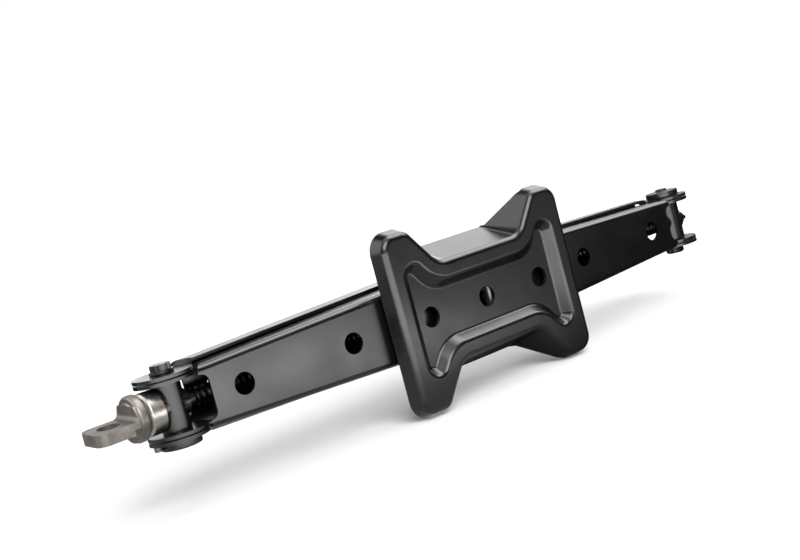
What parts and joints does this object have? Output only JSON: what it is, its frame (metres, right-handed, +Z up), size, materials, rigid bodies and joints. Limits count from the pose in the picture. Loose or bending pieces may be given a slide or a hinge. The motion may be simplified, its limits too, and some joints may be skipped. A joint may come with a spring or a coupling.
{
  "type": "scissor stabilizer jack",
  "caption": "Folding scissor jack with a bow-tie base tray and a top saddle on pressed channel arms, kept level by gear teeth and driven by a long screw with an eyed flat tang.",
  "frame": {"origin": "on the ground under the base plate, below the middle of the folded jack's whole length", "axes": "+X along the drive screw away from its drive end, +Y across the arms, +Z up towards the vehicle"},
  "size_m": [0.6506, 0.1516, 0.092],
  "materials": {
    "black_paint": "glossy black coat",
    "bare_steel": "bare forged and turned steel",
    "zinc_steel": "dull zinc plate"
  },
  "bodies": {
    "base": {"base_plate": "black_paint", "rear_base_cheek": "black_paint", "front_base_cheek": "black_paint", "left_base_pin": "zinc_steel", "right_base_pin": "zinc_steel"},
    "lower_left": {"lower_left_arm": "black_paint"},
    "left_bar": {"left_trunnion": "black_paint", "left_trunnion_stud": "black_paint", "left_trunnion_washer": "zinc_steel", "left_trunnion_nut": "zinc_steel", "left_stud_shim": "zinc_steel", "left_journal_shim": "zinc_steel", "thrust_shell": "bare_steel", "rear_race": "bare_steel"},
    "upper_left": {"upper_left_arm": "black_paint", "locating_dowel": "bare_steel"},
    "top": {"top_bracket": "black_paint", "left_top_pin": "zinc_steel", "right_top_pin": "zinc_steel"},
    "upper_right": {"upper_right_arm": "black_paint"},
    "lower_right": {"lower_right_arm": "black_paint"},
    "right_bar": {"right_trunnion": "black_paint", "right_trunnion_stud": "black_paint", "right_trunnion_washer": "zinc_steel", "right_trunnion_nut": "zinc_steel", "right_stud_shim": "zinc_steel", "right_journal_shim": "zinc_steel"},
    "screw": {"drive_screw": "bare_steel", "front_race": "bare_steel", "stop_pin": "bare_steel"},
    "balls": {"ball_ring": "bare_steel"}
  },
  "joints": [
    {"name": "lift", "type": "hinge", "parent": "base", "child": "lower_left", "pos_m": [0.00475, 0, 0.0235], "axis": [0, 1, 0], "range_deg": [0, 70]},
    {"name": "left_bar_level", "type": "hinge", "parent": "lower_left", "child": "left_bar", "pos_m": [-0.25929, 0, 0.046], "axis": [0, 1, 0], "range_deg": [-70, 0]},
    {"name": "upper_left_fold", "type": "hinge", "parent": "left_bar", "child": "upper_left", "pos_m": [-0.25929, 0, 0.046], "axis": [0, 1, 0], "range_deg": [-70, 0]},
    {"name": "top_level", "type": "hinge", "parent": "upper_left", "child": "top", "pos_m": [0.00475, 0, 0.0685], "axis": [0, 1, 0], "range_deg": [0, 70]},
    {"name": "upper_right_fold", "type": "hinge", "parent": "top", "child": "upper_right", "pos_m": [0.03875, 0, 0.0685], "axis": [0, 1, 0], "range_deg": [0, 70]},
    {"name": "lower_right_lift", "type": "hinge", "parent": "base", "child": "lower_right", "pos_m": [0.03875, 0, 0.0235], "axis": [0, 1, 0], "range_deg": [-70, 0]},
    {"name": "right_bar_level", "type": "hinge", "parent": "lower_right", "child": "right_bar", "pos_m": [0.30279, 0, 0.046], "axis": [0, 1, 0], "range_deg": [0, 70]},
    {"name": "screw_spin", "type": "hinge", "parent": "left_bar", "child": "screw", "pos_m": [-0.25929, 0, 0.046], "axis": [1, 0, 0], "continuous": true},
    {"name": "ball_ring_spin", "type": "hinge", "parent": "left_bar", "child": "balls", "pos_m": [-0.25929, 0, 0.046], "axis": [1, 0, 0], "continuous": true}
  ],
  "couplings": [
    {"joint": "left_bar_level", "follows": "lift", "ratio": -1},
    {"joint": "upper_left_fold", "follows": "lift", "ratio": -1},
    {"joint": "top_level", "follows": "lift", "ratio": 1},
    {"joint": "upper_right_fold", "follows": "lift", "ratio": 1},
    {"joint": "lower_right_lift", "follows": "lift", "ratio": -1},
    {"joint": "right_bar_level", "follows": "lift", "ratio": 1},
    {"joint": "ball_ring_spin", "follows": "screw_spin", "ratio": 0.5}
  ]
}
